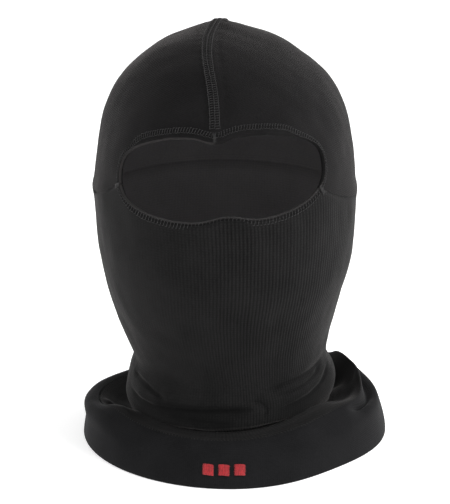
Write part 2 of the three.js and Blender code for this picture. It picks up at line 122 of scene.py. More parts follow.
def smoothstep(x, low, high):
    t = np.clip((x - low) / (high - low), 0, 1)
    return t * t * (3 - 2 * t)


def lerp(a, b, t):
    return a + (b - a) * t


def unit(v):
    return v / np.maximum(np.linalg.norm(v, axis=-1, keepdims=True), 1e-12)


def wrapped(azimuth):
    return (np.asarray(azimuth, float) + 180) % 360 - 180


def run_along(line):
    """Length along a line of points, from 0 at the first."""
    return np.concatenate([[0], np.cumsum(np.linalg.norm(np.diff(line, axis=0), axis=1))])


def smooth_through(knots, values, at):
    """A cubic through values at rising knots, with averaged slopes, as in the CAD."""
    chord = np.diff(values) / np.diff(knots)
    span = np.diff(knots)
    slope = np.concatenate([
        chord[:1],
        (chord[:-1] * span[1:] + chord[1:] * span[:-1]) / (span[:-1] + span[1:]),
        chord[-1:],
    ])
    i = np.clip(np.searchsorted(knots, at) - 1, 0, len(knots) - 2)
    t = (at - knots[i]) / span[i]
    rise = values[i + 1] - values[i]
    start, end = slope[i] * span[i], slope[i + 1] * span[i]
    return values[i] + t * (start + t * (3 * rise - 2 * start - end + t * (start + end - 2 * rise)))


HEAD_KNOTS = np.sqrt(CROWN_Z - HEAD_RINGS[:, 0])
COLLAR_KNOTS = np.arange(len(COLLAR_RINGS), dtype=float)


def drop_of(height):
    """The root of the depth below the crown, which runs evenly over the top of the head."""
    return np.sqrt(np.maximum(0, CROWN_Z - height))


def head_point(azimuth, drop):
    azimuth, drop = np.broadcast_arrays(np.asarray(azimuth, float), np.asarray(drop, float))
    angle = np.radians(azimuth)
    height = CROWN_Z - drop * drop
    size = [smooth_through(HEAD_KNOTS, HEAD_RINGS[:, k], drop) for k in range(1, 5)]
    across = size[0] * np.sin(angle)
    y = -np.where(np.cos(angle) > 0, size[1], size[2]) * np.cos(angle)
    sway_angle = np.degrees(np.arctan2(height - 190, -y))
    middle = np.maximum(0, 1 - (across / 80) ** 2) ** 2
    sway = -9 * bump(sway_angle - 62, 32) * middle * smoothstep(height, 190, 225)
    ridge = bump(across, 9) * smoothstep(height, 215, 250)
    return np.stack([size[3] + across + sway, y, height + ridge], -1)


def collar_point(azimuth, ring):
    azimuth, ring = np.broadcast_arrays(wrapped(azimuth), np.asarray(ring, float))
    angle = np.radians(azimuth)
    size = [smooth_through(COLLAR_KNOTS, COLLAR_RINGS[:, k], ring) for k in range(13)]
    across = size[0] * np.sin(angle)
    back = size[7] - np.where(np.cos(angle) > 0, size[1], size[2]) * np.cos(angle)
    flare = np.maximum(0, np.hypot(across, back) - 62)
    pinched = 0.34 * bump(azimuth - 120, 28) * (1 - smoothstep(ring, 12.5, 16))
    drawn_in = (0.24 * bump(azimuth - 42, 27) + pinched) * smoothstep(ring, 6, 9)
    flat = 1 - (drawn_in * flare) / (62 + flare)
    x = across * flat
    turn = np.abs(azimuth)

    def blend(side, front, rear):
        beside = lerp(size[side], size[rear], smoothstep(turn, 100, 170))
        return lerp(size[front], beside, smoothstep(turn, 25, 80))

    groove = smooth_through(RIM[:, 0], RIM[:, 2], azimuth) * size[9]
    rim = smooth_through(RIM[:, 0], RIM[:, 1], azimuth) * blend(10, 11, 12)
    height = blend(3, 4, 5) + 0.07 * x * size[8] + groove + rim
    return np.stack([size[6] + x, back * flat, height], -1)


def slopes(surface, azimuth, along):
    """How far a point moves per degree round and per unit along."""
    side = (surface(azimuth + 0.05, along) - surface(azimuth - 0.05, along)) / 0.1
    down = (surface(azimuth, along + 1e-3) - surface(azimuth, np.maximum(along - 1e-3, 0))) / 2e-3
    return side, down


def normal_of(surface, azimuth, along):
    side, down = slopes(surface, azimuth, np.maximum(along, 0.02))
    return unit(np.cross(down, side))


def above(surface, azimuth, along, height):
    """A point at a height over a surface."""
    return surface(azimuth, along) + normal_of(surface, azimuth, along) * np.asarray(height)[..., None]


def slid(surface, azimuth, along, move):
    """The place reached from another by a short move over the surface, in two steps."""
    for _ in range(2):
        side, down = slopes(surface, azimuth, along)
        aa, bb, ab = (side * side).sum(-1), (down * down).sum(-1), (side * down).sum(-1)
        a, b = (move * side).sum(-1), (move * down).sum(-1)
        area = aa * bb - ab * ab
        azimuth = azimuth + 0.5 * (a * bb - b * ab) / area
        along = along + 0.5 * (b * aa - a * ab) / area
    return azimuth, along


# ---- Eye opening and joining seam ----
EYE_AZ, EYE_HALF, EYE_Z, EYE_RISE = -1.8, 48.9, 183.8, 23
RIGHT_CORNER, LEFT_CORNER, BROW_SEAM = -26.0, 191.0, 91.4
SEAM_Z = 156


def eye_outline(turn):
    """Azimuth and height at a turn: 0 at the right end, 90 at the brow, 180 at the left end."""
    turn = np.radians(turn)
    across, up = (np.sign(part) * np.abs(part) ** 0.8 for part in (np.cos(turn), np.sin(turn)))
    azimuth = EYE_AZ + EYE_HALF * across
    notch = np.where(up > 0, 3.7 * bump(azimuth + 4, 8), 0)
    cusp = np.where(up < 0, 3.6 * bump(azimuth - 1, 9), 0)
    return azimuth, EYE_Z + EYE_RISE * up + 3.1 * across - notch + cusp


CORNERS = {1: eye_outline(RIGHT_CORNER), -1: eye_outline(LEFT_CORNER)}


def join_height(azimuth):
    """Height of the joining seam, which dips from each corner of the eyes to a level line."""
    corner_az, corner_z = (np.where(azimuth > 0, *pair) for pair in zip(CORNERS[1], CORNERS[-1]))
    past = np.maximum(0, np.abs(azimuth) - np.abs(corner_az))
    return SEAM_Z + (corner_z - SEAM_Z) * np.exp(-past / 20)


def seam_azimuths(count):
    """Azimuths along the joining seam, from the right corner of the eyes round the back to the left."""
    azimuth = np.linspace(CORNERS[1][0] + 5, 360 + CORNERS[-1][0] - 5, count)
    return np.where(azimuth > 180, azimuth - 360, azimuth)


def hem_width(turn):
    """Distance from the folded edge to the row of stitches: wide over the brow, narrow elsewhere."""
    turn = np.radians(turn)
    end = smoothstep(np.cos(turn), 0.6, 0.95)
    return 1.9 - 0.7 * end + 3.0 * smoothstep(np.sin(turn) - 0.14 * np.cos(turn), 0.6, 0.84)


def hem_place(turn, across):
    """Azimuth and drop at a distance from the folded edge of the eye opening."""
    (azimuth, along), before, after = (
        (azimuth, drop_of(z)) for azimuth, z in map(eye_outline, (turn, turn + 0.4, turn - 0.4)))
    tangent = unit(head_point(*after) - head_point(*before))
    away = unit(np.cross(normal_of(head_point, azimuth, along), tangent))
    return slid(head_point, azimuth, along, away * across[..., None])


def on_eye(turn, across, height):
    """A point at a distance from the folded edge of the eye opening and a height over the cloth."""
    turn, across, height = np.broadcast_arrays(*(np.asarray(v, float) for v in (turn, across, height)))
    return above(head_point, *hem_place(turn, across), height)


# ---- Meshes ----
# The four corners of every cell of a grid.
CELL = [(slice(None, -1), slice(None, -1)), (slice(1, None), slice(None, -1)),
        (slice(1, None), slice(1, None)), (slice(None, -1), slice(1, None))]


def grid_normals(points):
    """Normals of a grid that closes on itself across."""
    side = np.roll(points, -1, 1) - np.roll(points, 1, 1)
    return unit(np.cross(np.gradient(points, axis=0), side))


class Patchwork:
    """Collects grids and rims into one mesh, with a UV for every corner and a material for every face."""

    def __init__(self):
        self.points, self.faces, self.uvs, self.slots = [], [], [], []
        self.count = 0

    def add_points(self, points):
        """Adds points and returns their numbers, in the shape of the grid."""
        self.points.append(points.reshape(-1, 3))
        shape = points.shape[:-1]
        index = self.count + np.arange(np.prod(shape)).reshape(shape)
        self.count += index.size
        return index

    def add_faces(self, faces, uvs=None, slots=0):
        """Adds faces of four corners, where -1 leaves a corner out."""
        self.faces.append(faces)
        self.uvs.append(np.zeros((len(faces), 4, 2)) if uvs is None else uvs)
        self.slots.append(np.broadcast_to(slots, len(faces)))

    def add_cells(self, index, u, v, flip=False, slots=0):
        cell = CELL[::-1] if flip else CELL
        uvs = np.stack([np.stack([u[c], v[c]], -1) for c in cell], -2)
        self.add_faces(np.stack([index[c] for c in cell], -1).reshape(-1, 4), uvs.reshape(-1, 4, 2), slots)

    def grid(self, points, u, v, closed=False, flip=False, slots=0):
        index = self.add_points(points)
        v = np.broadcast_to(v, index.shape)
        if closed:
            index = np.concatenate([index, index[:, :1]], 1)
            v = np.concatenate([v, v[:, :1]], 1)
        self.add_cells(index, np.broadcast_to(u, index.shape), v, flip, slots)
        return index

    def rim(self, a, b):
        """Joins two edges that run the same way, with the faces on the left of the first."""
        i = j = 0
        made = []
        while i < len(a) - 1 or j < len(b) - 1:
            if j == len(b) - 1 or (i < len(a) - 1 and (i + 1) * (len(b) - 1) <= (j + 1) * (len(a) - 1)):
                made.append((a[i], a[i + 1], b[j], -1))
                i += 1
            else:
                made.append((a[i], b[j + 1], b[j], -1))
                j += 1
        self.add_faces(np.array(made))

    def build(self, name, materials, angle=80, painted_shading=None):
        """The finished object, facing out. Edges sharper than the angle stay sharp."""
        points = np.concatenate(self.points)
        faces, uvs, slots = (np.concatenate(part) for part in (self.faces, self.uvs, self.slots))
        keep = faces >= 0
        sizes = keep.sum(1)
        mesh = bpy.data.meshes.new(name)
        mesh.vertices.add(len(points))
        mesh.vertices.foreach_set("co", (points * MM).astype(np.float32).ravel())
        mesh.loops.add(int(sizes.sum()))
        mesh.loops.foreach_set("vertex_index", faces[keep].astype(np.int32))
        mesh.polygons.add(len(faces))
        mesh.polygons.foreach_set("loop_start", (np.cumsum(sizes) - sizes).astype(np.int32))
        mesh.polygons.foreach_set("material_index", slots.astype(np.int32))
        mesh.uv_layers.new(name="stitch").data.foreach_set("uv", uvs[keep].astype(np.float32).ravel())
        # painted_shading carries a tone shift at each point: painted light and shade.
        if painted_shading is not None:
            mesh.attributes.new("painted_shading", "FLOAT", "POINT").data.foreach_set("value", painted_shading.astype(np.float32))
        mesh.update(calc_edges=True)
        mesh.validate()
        mesh.shade_smooth()
        mesh.set_sharp_from_angle(angle=radians(angle))
        for material in materials:
            mesh.materials.append(material)
        piece = bpy.data.objects.new(name, mesh)
        bpy.context.scene.collection.objects.link(piece)
        work = bmesh.new()
        work.from_mesh(mesh)
        bmesh.ops.recalc_face_normals(work, faces=work.faces)
        work.to_mesh(mesh)
        work.free()
        return piece


def swept(name, sections, u, v, materials, closed=False, slots=0, angle=80):
    """A closed section carried along a path: sections is (stations, corners, 3). Open runs are capped."""
    work = Patchwork()
    index = work.add_points(sections)
    index = np.concatenate([index, index[:, :1]], 1)
    if closed:
        index = np.concatenate([index, index[:1]], 0)
    work.add_cells(index, np.broadcast_to(u[:, None], index.shape), np.broadcast_to(v, index.shape), slots=slots)
    if not closed:
        half = sections.shape[1] // 2
        for row, way in ((index[0, :-1], 1), (index[-1, :-1], -1)):
            other = row[::-1]
            work.add_faces(np.array(
                [(row[k], row[k + 1], other[k + 1], other[k])[::way] for k in range(half - 1)]))
    return work.build(name, materials, angle)


THREAD_SIDES = 6


def thread_mesh(name, paths, ups, radius, material):
    """Short threads in one mesh. paths and ups are (threads, points, 3); the ends taper in."""
    count, length = paths.shape[:2]
    tangent = unit(np.gradient(paths, axis=1))
    side = unit(np.cross(tangent, ups))
    up = np.cross(side, tangent)
    turn = np.arange(THREAD_SIDES) * 2 * np.pi / THREAD_SIDES
    taper = np.ones(length)
    taper[[0, -1]] = 0.45
    girth = (np.broadcast_to(radius, (count,))[:, None] * taper)[..., None, None]
    ring = (up[:, :, None] * np.cos(turn)[:, None] + side[:, :, None] * np.sin(turn)[:, None]) * girth
    work = Patchwork()
    first = work.add_points(paths[:, :, None] + ring)[:, 0, 0]
    i, k = np.meshgrid(np.arange(length - 1), np.arange(THREAD_SIDES), indexing="ij")
    after = (k + 1) % THREAD_SIDES
    quads = np.stack([i * THREAD_SIDES + k, i * THREAD_SIDES + after,
                      (i + 1) * THREAD_SIDES + after, (i + 1) * THREAD_SIDES + k], -1)
    around, along = k / THREAD_SIDES, i / 2
    uvs = np.stack([np.stack(corner, -1) for corner in (
        (around, along), ((k + 1) / THREAD_SIDES, along),
        ((k + 1) / THREAD_SIDES, (i + 1) / 2), (around, (i + 1) / 2))], -2)
    start = [(0, 1, 2, 3), (0, 3, 4, 5)]
    caps = np.array([c[::-1] for c in start] + [tuple((length - 1) * THREAD_SIDES + x for x in c) for c in start])
    for faces, laid in ((quads.reshape(-1, 4), np.tile(uvs.reshape(-1, 4, 2), (count, 1, 1))), (caps, None)):
        work.add_faces((faces[None] + first.reshape(-1, 1, 1)).reshape(-1, 4), laid)
    return work.build(name, [material])


def waves(points, size, seed):
    """Smooth seeded noise over points, about -1 to 1, with features of a size in millimetres."""
    pick = np.random.default_rng(seed)
    total = np.zeros(points.shape[:-1])
    for _ in range(12):
        direction = unit(pick.normal(size=3)) * (2 * np.pi / size) * pick.uniform(0.6, 1.5)
        total += np.sin(points @ direction + pick.uniform(0, 2 * np.pi))
    return total / 3.5


# ---- Materials ----
RIBS = 232
CLEAREST_RIB = RIBS * 14 / 360
WALE_PITCH = 1.25


class Shading:
    """A material's node tree, with short ways to make the nodes that several materials share."""

    def __init__(self, name):
        self.material = bpy.data.materials.new(name)
        self.material.use_nodes = True
        self.nodes, self.links = self.material.node_tree.nodes, self.material.node_tree.links
        self.nodes.clear()
        output = self.nodes.new("ShaderNodeOutputMaterial")
        self.shader = self.nodes.new("ShaderNodeBsdfPrincipled")
        self.links.new(self.shader.outputs[0], output.inputs[0])

    def calc(self, kind, *values):
        return math_node(self.nodes, self.links, kind, *values)

    def stitch_uv(self):
        uv = self.nodes.new("ShaderNodeUVMap")
        uv.uv_map = "stitch"
        split = self.nodes.new("ShaderNodeSeparateXYZ")
        self.links.new(uv.outputs[0], split.inputs[0])
        return split.outputs

    def noise(self, scale, detail, roughness=0.5):
        place = self.nodes.new("ShaderNodeTexCoord").outputs["Object"]
        node = self.nodes.new("ShaderNodeTexNoise")
        self.links.new(place, node.inputs["Vector"])
        for name, value in (("Scale", scale), ("Detail", detail), ("Roughness", roughness)):
            node.inputs[name].default_value = value
        return node.outputs[0]

    def colour(self, tone, dark, light, low, high):
        """Base colour from dark to light as the tone goes from low to high."""
        ramp = self.nodes.new("ShaderNodeValToRGB")
        for element, position, value in zip(ramp.color_ramp.elements, (low, high), (dark, light)):
            element.position = position
            element.color = (*value, 1)
        self.links.new(tone, ramp.inputs[0])
        self.links.new(ramp.outputs[0], self.shader.inputs["Base Color"])

    def relief(self, height, depth, under=None):
        node = self.nodes.new("ShaderNodeBump")
        node.inputs["Strength"].default_value = 1
        node.inputs["Distance"].default_value = depth * MM
        self.links.new(height, node.inputs["Height"])
        if under is not None:
            self.links.new(under, node.inputs["Normal"])
        return node.outputs[0]

    def finish(self, normal, **values):
        """Sets the shader's own sockets: Sheen_Weight is the socket called Sheen Weight."""
        self.links.new(normal, self.shader.inputs["Normal"])
        for name, value in values.items():
            self.shader.inputs[name.replace("_", " ")].default_value = value
        return self.material


def math_node(nodes, links, kind, *values):
    node = nodes.new("ShaderNodeMath")
    node.operation = kind
    for slot, value in enumerate(values):
        if isinstance(value, (int, float)):
            node.inputs[slot].default_value = value
        else:
            links.new(value, node.inputs[slot])
    return node.outputs[0]


def knit(name, dark, light, sheen, sheen_tint, stitch_height, fuzz_height, turned=False, rib=False):
    """Knitted cloth: stitch loops from the UV, whose unit is one stitch, then yarn flecks and nap.
    Ribs are clearest a little right of the middle of the face and stretch flat away from it."""
    made = Shading(name)
    calc, split = made.calc, made.stitch_uv()
    shift = calc("MULTIPLY", calc("SUBTRACT", made.noise(130, 1), 0.5), 0.7)
    across, along = (1, 0) if turned else (0, 1)
    u = calc("ADD", split[across], calc("MULTIPLY", shift, 0.4))
    v = calc("ADD", split[along], shift)

    leg = calc("ABSOLUTE", calc("SUBTRACT", calc("FRACT", u), 0.5))
    slant = calc("ADD", v, calc("MULTIPLY", leg, 1.1))
    loop = calc("SINE", calc("MULTIPLY", slant, 2 * np.pi))
    if rib:
        turn = calc("MULTIPLY", calc("SUBTRACT", split[0], CLEAREST_RIB), 2 * np.pi / RIBS)
        fade = calc("POWER", calc("MAXIMUM", calc("COSINE", turn), 0.4), 4)
        wale = calc("MULTIPLY", calc("MULTIPLY", calc("COSINE", calc("MULTIPLY", u, 2 * np.pi)), 0.5), fade)
    else:
        wale = calc("MULTIPLY", calc("COSINE", calc("MULTIPLY", u, 4 * np.pi)), -0.5)
    stitch = calc("MULTIPLY", calc("ADD", wale, 0.5), calc("ADD", calc("MULTIPLY", loop, 0.35), 0.65))

    fleck, cloud = made.noise(950, 3, 0.65), made.noise(45, 4)
    # The tone follows the stitch height, so rib valleys and gaps between loops are darker: painted shade. The
    # flecks and cloud are the yarn's own.
    tone = calc("ADD", calc("MULTIPLY", stitch, 0.45), calc("MULTIPLY", fleck, 0.7))
    tone = calc("ADD", tone, calc("MULTIPLY", cloud, 0.5))
    if rib:
        # Painted light and shade: the per-point painted_shading attribute raises or lowers the tone.
        painted_shading = made.nodes.new("ShaderNodeAttribute")
        painted_shading.attribute_name = "painted_shading"
        tone = calc("ADD", tone, calc("MULTIPLY", painted_shading.outputs["Fac"], 0.45))
    made.colour(tone, dark, light, 0.45, 1.0)
    nap = made.relief(fleck, fuzz_height, under=made.relief(stitch, stitch_height))
    return made.finish(nap, Roughness=0.92, Specular_IOR_Level=0.1, Sheen_Weight=sheen,
                       Sheen_Roughness=0.28, Sheen_Tint=(*sheen_tint, 1))


def yarn(name, dark, light, twist, sheen, rough=0.7, specular=0.3):
    """A plied sewing thread: UV runs once round it and along it."""
    made = Shading(name)
    calc, split = made.calc, made.stitch_uv()
    spiral = calc("ADD", calc("MULTIPLY", split[0], 2), calc("MULTIPLY", split[1], twist))
    ply = calc("SINE", calc("MULTIPLY", spiral, 2 * np.pi))
    made.colour(calc("ADD", calc("MULTIPLY", ply, 0.2), made.noise(700, 3)), dark, light, 0.25, 0.75)
    return made.finish(made.relief(ply, 0.06), Roughness=rough, Specular_IOR_Level=specular,
                       Sheen_Weight=sheen, Sheen_Roughness=0.4)


WARM, NEUTRAL, COOL = (1.0, 0.93, 0.91), (1.0, 0.96, 0.95), (0.98, 0.97, 1.0)
jersey = knit("brushed_jersey", (0.0024, 0.0023, 0.0024), (0.009, 0.0085, 0.0088), 0.08, WARM, 0.07, 0.13)
# Painted highlight: a paler copy of the jersey for the lit round of the eye hems' folded edge.
painted_highlight_edge = knit("painted_highlight_edge", (0.012, 0.0112, 0.0112), (0.03, 0.028, 0.028), 0.12, WARM, 0.07, 0.13)
# Insides: copies of the same cloth painted twenty to sixty times paler, painted light for the light that hardly
# reaches in. The tube's copy is a little paler still, so the two insides meet at the joining seam without a step.
painted_light_lining = knit("painted_light_lining", (0.147, 0.141, 0.144), (0.205, 0.197, 0.201), 0.0, WARM, 0.06, 0.1)
tube_painted_light_lining = knit("tube_painted_light_lining", (0.164, 0.157, 0.161), (0.229, 0.22, 0.224), 0.0, WARM, 0.06, 0.1)
ribbed = knit("rib_knit", (0.0026, 0.0026, 0.0026), (0.0116, 0.0113, 0.0114), 0.088, NEUTRAL, 0.1, 0.18, rib=True)
band_knit = knit("hem_jersey", (0.0031, 0.0031, 0.0034), (0.0102, 0.0102, 0.011), 0.052, COOL, 0.08, 0.15,
                 turned=True)
seam_yarn = yarn("seam_thread", (0.012, 0.0118, 0.012), (0.033, 0.0318, 0.032), 1.0, 0.05)
dark_yarn = yarn("joining_thread", (0.0045, 0.0045, 0.0045), (0.012, 0.0116, 0.0116), 1.0, 0.03)
red_yarn = yarn("accent_yarn", (0.2, 0.008, 0.011), (0.45, 0.022, 0.028), 1.2, 0.05, rough=0.45, specular=0.4)


def placed(piece, node):
    """Every piece is cloth or thread on the one body, and stands for one CAD node."""
    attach(piece, "root")
    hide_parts(node)
    return piece


# ---- Hood: two brushed jersey panels ----
HOOD_ROWS, BROW_COLUMNS, SEAM_COLUMNS = 110, 90, 74
TUCK = 0.03


def crown_x(drop, front):
    """Where the crown seam lies across the head, at a drop below the crown."""
    brow = eye_outline(BROW_SEAM)
    azimuth = np.where(front, brow[0] * drop / drop_of(brow[1]), 180.0)
    return head_point(azimuth, drop)[..., 0]


def shared_relief(points, azimuth):
    """The rises and dips that hood and tube have in common where they are joined."""
    over = points[..., 2] - join_height(azimuth)
    swell = 0.9 * bump(over - 1.5, 4.2) * bump(np.abs(azimuth) - 92, 34)
    return swell + 0.28 * waves(points, 46, 3) + 0.1 * waves(points, 17, 4)


def peak_relief(points):
    """The small peak at the top of the crown."""
    return 0.9 * bump(np.hypot(points[..., 0] + 9, points[..., 1] + 2), 9)


def seam_relief(off_seam):
    """The ridge over the crown seam."""
    return 0.5 * bump(off_seam, 4.2)


def hood_relief(points, azimuth, drop):
    """Small rises and dips of the brushed cloth over the hidden form."""
    front = np.cos(np.radians(azimuth)) > 0
    off_seam = points[..., 0] - crown_x(drop, front)
    run = np.where(front, -1, 1) * drop
    beside = 0.3 * bump(np.abs(off_seam) - 5.6, 2.0)
    pucker = 0.04 * bump(np.abs(off_seam) - 6, 3) * np.sin(2 * np.pi * run / 0.42 + np.sign(off_seam))
    return seam_relief(off_seam) - beside + pucker + peak_relief(points) + shared_relief(points, azimuth)


def jersey_uv(points, side):
    """The panel laid flat from its ear: wales run up the side and along the crown seam."""
    middle = np.array([-6.3, 0, 172])
    to = unit((points - middle) / np.array([79, 96, 84]))
    away = HEAD_RADIUS * np.arccos(np.clip(side * to[..., 0], -1, 1)) / WALE_PITCH
    round_ear = np.arctan2(to[..., 2], to[..., 1])
    return away * np.cos(round_ear), away * np.sin(round_ear)


def hood_panel(side):
    """Half the hood, right where side is 1: rows run from the brow and the joining seam to the crown."""
    corner = RIGHT_CORNER if side > 0 else LEFT_CORNER
    turns = np.linspace(BROW_SEAM, corner, 400)
    azimuth, along = hem_place(turns, hem_width(turns))
    height = CROWN_Z - along ** 2
    beyond = np.abs(azimuth) > np.abs(CORNERS[side][0])
    crossed = beyond & (height < join_height(azimuth)) & (np.abs(turns - corner) < 60)
    last = np.argmax(crossed) if crossed.any() else len(turns) - 1
    pick = np.linspace(0, last, BROW_COLUMNS + 1)
    brow_az, brow_z = (np.interp(pick, np.arange(len(turns)), edge) for edge in (azimuth, height))
    seam_az = np.linspace(brow_az[-1], side * 180, SEAM_COLUMNS + 1)[1:]
    start_az = np.concatenate([brow_az, seam_az])
    start_drop = drop_of(np.concatenate([brow_z, join_height(seam_az) + TUCK]))

    index = np.arange(len(start_az))
    brow_share = np.minimum(1, index / BROW_COLUMNS)
    back_share = np.maximum(0, (index - BROW_COLUMNS) / SEAM_COLUMNS)
    end = side * (76 * brow_share + 104 * back_share)
    fan = lerp(1, 0.5, smoothstep(np.abs(end), 5, 45))
    t = np.linspace(0, 1, HOOD_ROWS + 1)[:, None]
    azimuth = lerp(start_az, end, t ** fan)
    drop = start_drop * (1 - t)

    base = head_point(azimuth, drop)
    normal = normal_of(head_point, azimuth, drop)
    tuck = -TUCK * bump(t * start_drop * 12, 3)
    outer = base + normal * (hood_relief(base, azimuth, drop) + tuck)[..., None]
    inner = base + normal * (0.5 * tuck - CLOTH)[..., None]
    for cloth in (outer, inner):
        cloth[..., 0] -= side * 0.02
    u, v = jersey_uv(base, side)
    work = Patchwork()
    out = work.grid(outer, u, v)
    # The inside, slot 1, is the lining painted pale as painted light.
    within = work.grid(inner, u, v, flip=True, slots=1)
    work.rim(out[0], within[0])
    work.rim(out[-1][::-1], within[-1][::-1])
    work.rim(out[::-1, 0], within[::-1, 0])
    work.rim(out[:, -1], within[:, -1])
    name = "hood_right_cloth" if side > 0 else "hood_left_cloth"
    return work.build(name, [jersey, painted_light_lining], angle=70)


# ---- Face and neck: one tube of rib knit, slumped into a roll and turned out ----
RIB_STEPS = 3
FACE_ROWS, ROLL_ROWS, TURN_ROWS, TURN_RING = 42, 84, 30, 6.5


def tube_top(azimuth):
    """Height of the tube's upper edge: the joining seam, or under the cheek hem's stitches."""
    top = join_height(azimuth) - TUCK
    turns = np.linspace(LEFT_CORNER - 14, RIGHT_CORNER + 360 + 14, 900)
    edge_az, along = hem_place(turns, hem_width(turns))
    low = slice(np.argmin(edge_az), np.argmax(edge_az) + 1)
    edge_az, edge_z = edge_az[low], CROWN_Z - along[low] ** 2
    inside = (azimuth > edge_az[0]) & (azimuth < edge_az[-1])
    under = np.interp(azimuth, edge_az, edge_z)
    return np.where(inside, np.where(np.abs(azimuth) < 40, under, np.minimum(top, under)), top)


ROLL_PATH = np.linspace(1, TUBE_END, 400)
ROLL_LENGTH = run_along(collar_point(np.zeros(400), ROLL_PATH))
DEGREE = 1.17

# Folds of the slumped neck: a path of (azimuth, mm down from the waist), then the depth of the crease,
# its half width, and the lean, which raises a lip on one side (above it where positive).
FOLDS = [
    ([(-76, 7), (-66, 7.5), (-55, 8.5), (-44, 11), (-36, 13)], 2.3, 1.8, -0.5),
    ([(-78, 14), (-60, 16.5), (-47, 17.5), (-36, 17), (-24, 16), (-3, 15.5), (10, 16.5), (18, 18)], 3.0, 2.0, 0.6),
    ([(11, 10.5), (15, 12), (18, 15), (19, 19), (17, 23)], 1.2, 1.6, -1.0),
    ([(-36, 21), (-26, 21), (-16, 22.5), (-6, 24), (4, 24)], 1.3, 2.0, 0.5),
    ([(16, 6.5), (30, 3.5), (44, 2), (62, 0.5), (76, -3), (92, -5)], 1.6, 2.2, -0.6),
    ([(22, 9.5), (32, 9.5), (44, 8), (58, 5), (70, 1)], 1.5, 2.0, 0.3),
    ([(20, 20.5), (34, 19), (47, 16.5), (60, 12.5), (70, 9), (80, 4)], 2.6, 2.6, 0.3),
    ([(-150, 8), (-128, 11), (-104, 9), (-92, 5)], 1.5, 2.4, 0.6),
    ([(104, 6), (122, 10), (146, 9), (166, 13)], 1.6, 2.4, 0.6),
    ([(176, 16), (200, 15), (222, 19)], 1.5, 2.4, -0.6),
]


def lobed(azimuth, ring):
    """The collar as it slumps: the rim on the right stands in two lobes with a valley between them,
    and the near left side is lifted into small folds. In order, what rises or sinks is the inner lobe,
    the valley, the groove behind the right cheek, the lip in front, and four places on the left."""
    base = collar_point(azimuth, ring)
    azimuth, ring = np.broadcast_arrays(wrapped(azimuth), ring)
    off = ring - lerp(11.8, 12.3, smoothstep(-azimuth, -92, -58))
    behind = smoothstep(azimuth, 62, 88) * (1 - smoothstep(azimuth, 100, 138))
    split = smoothstep(azimuth, 50, 64) * (1 - smoothstep(azimuth, 100, 122))
    front = 1 - smoothstep(np.abs(azimuth), 40, 75)
    rise = (
        behind * 13 * bump(ring - 11, np.where(ring < 11, 1.2, 0.75))
        - split * (3 * bump(off - 0.85, 0.8) + 6.5 * bump(off, 0.6))
        + 12.5 * bump(azimuth - 90, 19) * bump(ring - 8.6, 1.4)
        + 2 * front * bump(ring - 8.3, 0.9)
        + 2 * bump(azimuth + 92, 26) * bump(ring - 8.6, 1.3)
        - 1.8 * bump(azimuth + 70, 14) * bump(ring - 12, 1.5)
        + 3 * bump(azimuth + 60, 10) * bump(ring - 10, 1.3)
        + 2.2 * bump(azimuth + 86, 4) * bump(ring - 9.8, 0.6)
    )
    inward = (
        behind * 5 * bump(ring - 11, 1.3)
        + split * 2.5 * bump(off - 0.4, 1.1)
        + 2.5 * bump(azimuth - 88, 14) * bump(ring - 14, 0.8)
        - 1.2 * front * bump(ring - 8.1, 0.7)
    )
    out = unit(base * (1, 1, 0))
    return base - out * inward[..., None] + rise[..., None] * np.array([0, 0, 1.0])


def fold_relief(azimuth, down):
    """The creases of the neck: how far each point is sunk or raised, from the nearest stretch of each path."""
    total = np.zeros(np.broadcast(azimuth, down).shape)
    for path, depth, width, lean in FOLDS:
        path = np.array(path, float) * (DEGREE, 1)
        centre = path[:, 0].mean()
        px = centre + DEGREE * wrapped(azimuth - centre / DEGREE)
        run = run_along(path)
        best, side, share = np.full(total.shape, 1e9), np.zeros(total.shape), np.zeros(total.shape)
        for k in range(len(path) - 1):
            (ax, ay), (dx, dy) = path[k], path[k + 1] - path[k]
            long = np.hypot(dx, dy)
            s = np.clip(((px - ax) * dx + (down - ay) * dy) / long ** 2, 0, 1)
            gap = np.hypot(px - ax - s * dx, down - ay - s * dy)
            closer = gap < best
            best = np.where(closer, gap, best)
            side = np.where(closer, np.sign((px - ax) * dy - (down - ay) * dx) * gap, side)
            share = np.where(closer, (run[k] + s * long) / run[-1], share)
        fade = smoothstep(share, 0, 0.2) * (1 - smoothstep(share, 0.8, 1))
        lip = abs(lean) * depth * bump(side - np.sign(lean) * 2.6 * width, 2.2 * width)
        crease = 0.42 * bump(side, 0.6 * width) + 0.45 * bump(side, 2.3 * width)
        total += (0.35 * lip - depth * crease) * fade
    return total


